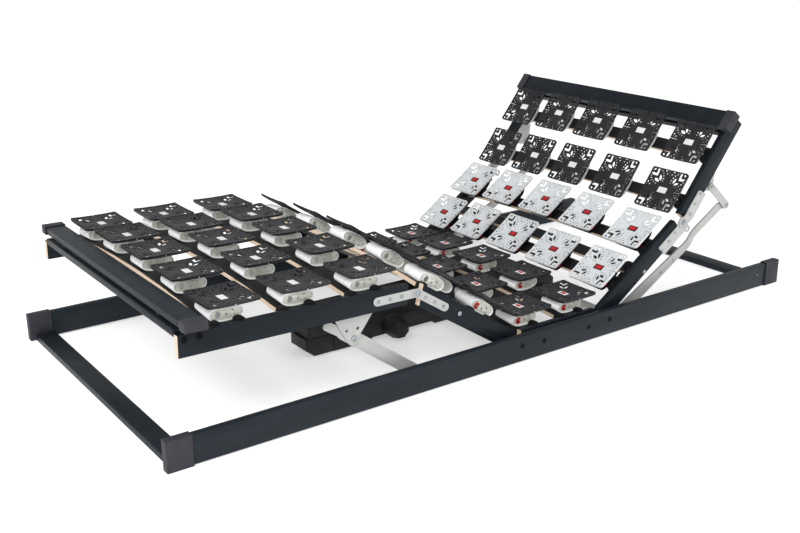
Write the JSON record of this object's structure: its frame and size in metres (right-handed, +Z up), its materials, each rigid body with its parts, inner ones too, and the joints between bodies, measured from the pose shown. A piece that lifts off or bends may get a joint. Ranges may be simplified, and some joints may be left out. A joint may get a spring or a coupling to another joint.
{
  "type": "adjustable bed base",
  "caption": "Low timber bed base frame with hinged back, head, thigh and calf sections that carry sprung plates on slats, raised by levers from one drive.",
  "frame": {"origin": "centre of the base frame's outline, on the plane it rests on", "axes": "+X from the foot end to the head end, +Y across the bed to the side away from the drive's motor pod, +Z up"},
  "size_m": [2, 0.9, 0.5531],
  "materials": {
    "rail_foil": "satin dark foil on layered wood",
    "cap_plastic": "fine matt grey moulding",
    "lever_steel": "light grey powder coat",
    "row_black": "black plates on pale springs and dark slats",
    "row_white": "off-white plates on black springs and dark slats",
    "drive_plastic": "black textured moulding"
  },
  "bodies": {
    "base": {"back_shaft_bracket_far": "lever_steel", "back_shaft_bracket_near": "lever_steel", "base_cap_foot_far": "cap_plastic", "base_cap_foot_near": "cap_plastic", "base_cap_head_far": "cap_plastic", "base_cap_head_near": "cap_plastic", "base_cross_foot": "rail_foil", "base_cross_head": "rail_foil", "base_rail_far": "rail_foil", "base_rail_near": "rail_foil", "drive_housing": "drive_plastic", "drive_pod": "drive_plastic", "drive_power_box": "drive_plastic", "leg_shaft_bracket_far": "lever_steel", "leg_shaft_bracket_near": "lever_steel", "seat_rail_far": "rail_foil", "seat_rail_near": "rail_foil", "seat_row_foot": "row_black", "seat_row_head": "row_black"},
    "thigh": {"knee_strap_thigh_far": "lever_steel", "knee_strap_thigh_near": "lever_steel", "thigh_rail_far": "rail_foil", "thigh_rail_near": "rail_foil", "thigh_row_hip": "row_black", "thigh_row_knee": "row_black"},
    "calf": {"calf_cross_rail": "rail_foil", "calf_rail_far": "rail_foil", "calf_rail_near": "rail_foil", "calf_row_foot": "row_black", "calf_row_knee": "row_black", "calf_row_middle": "row_black", "foot_bar": "rail_foil", "foot_bar_cap_far": "cap_plastic", "foot_bar_cap_near": "cap_plastic", "knee_strap_calf_far": "lever_steel", "knee_strap_calf_near": "lever_steel", "leg_bracket_far": "lever_steel", "leg_bracket_near": "lever_steel"},
    "leg_lift": {"leg_lift_frame": "lever_steel"},
    "back": {"back_rail_far": "rail_foil", "back_rail_near": "rail_foil", "back_row_lower": "row_white", "back_row_upper": "row_white", "neck_plate_back_far": "lever_steel", "neck_plate_back_near": "lever_steel"},
    "head": {"head_bar": "rail_foil", "head_bar_cap_far": "cap_plastic", "head_bar_cap_near": "cap_plastic", "head_bracket_far": "lever_steel", "head_bracket_near": "lever_steel", "head_cross_rail": "rail_foil", "head_rail_far": "rail_foil", "head_rail_near": "rail_foil", "head_row_lower": "row_black", "head_row_upper": "row_black", "neck_plate_head_far": "lever_steel", "neck_plate_head_near": "lever_steel"},
    "back_lift": {"back_lift_frame": "lever_steel"},
    "link_near": {"neck_link_near": "lever_steel"},
    "link_far": {"neck_link_far": "lever_steel"}
  },
  "joints": [
    {"name": "thigh_tilt", "type": "hinge", "parent": "base", "child": "thigh", "pos_m": [-0.03, 0, 0.042], "axis": [0, 1, 0], "range_deg": [-33, 7]},
    {"name": "knee", "type": "hinge", "parent": "thigh", "child": "calf", "pos_m": [-0.33863, 0, 0.24243], "axis": [0, 1, 0], "range_deg": [-6.9, 32.1]},
    {"name": "leg_shaft_turn", "type": "hinge", "parent": "base", "child": "leg_lift", "pos_m": [-0.31, 0, 0.02], "axis": [0, 1, 0], "range_deg": [-50, 10.7]},
    {"name": "back_tilt", "type": "hinge", "parent": "base", "child": "back", "pos_m": [0.281, 0, 0.042], "axis": [0, -1, 0], "range_deg": [-35, 12]},
    {"name": "neck_tilt", "type": "hinge", "parent": "back", "child": "head", "pos_m": [0.58327, 0, 0.25365], "axis": [0, -1, 0], "range_deg": [-17.1, 5.9]},
    {"name": "back_shaft_turn", "type": "hinge", "parent": "base", "child": "back_lift", "pos_m": [0.35, 0, 0.018], "axis": [0, -1, 0], "range_deg": [-43, 14.8]},
    {"name": "link_swing_near", "type": "hinge", "parent": "head", "child": "link_near", "pos_m": [0.71668, 0, 0.33215], "axis": [0, -1, 0], "range_deg": [-11.8, 34.1]},
    {"name": "link_swing_far", "type": "hinge", "parent": "head", "child": "link_far", "pos_m": [0.71668, 0, 0.33215], "axis": [0, -1, 0], "range_deg": [-11.8, 34.1]}
  ],
  "couplings": [
    {"joint": "knee", "follows": "thigh_tilt", "ratio": -0.9697},
    {"joint": "leg_shaft_turn", "follows": "thigh_tilt", "ratio": 1.512},
    {"joint": "neck_tilt", "follows": "back_tilt", "ratio": 0.4857},
    {"joint": "back_shaft_turn", "follows": "back_tilt", "ratio": 1.2243},
    {"joint": "link_swing_near", "follows": "back_tilt", "ratio": -0.9718},
    {"joint": "link_swing_far", "follows": "back_tilt", "ratio": -0.9718}
  ]
}
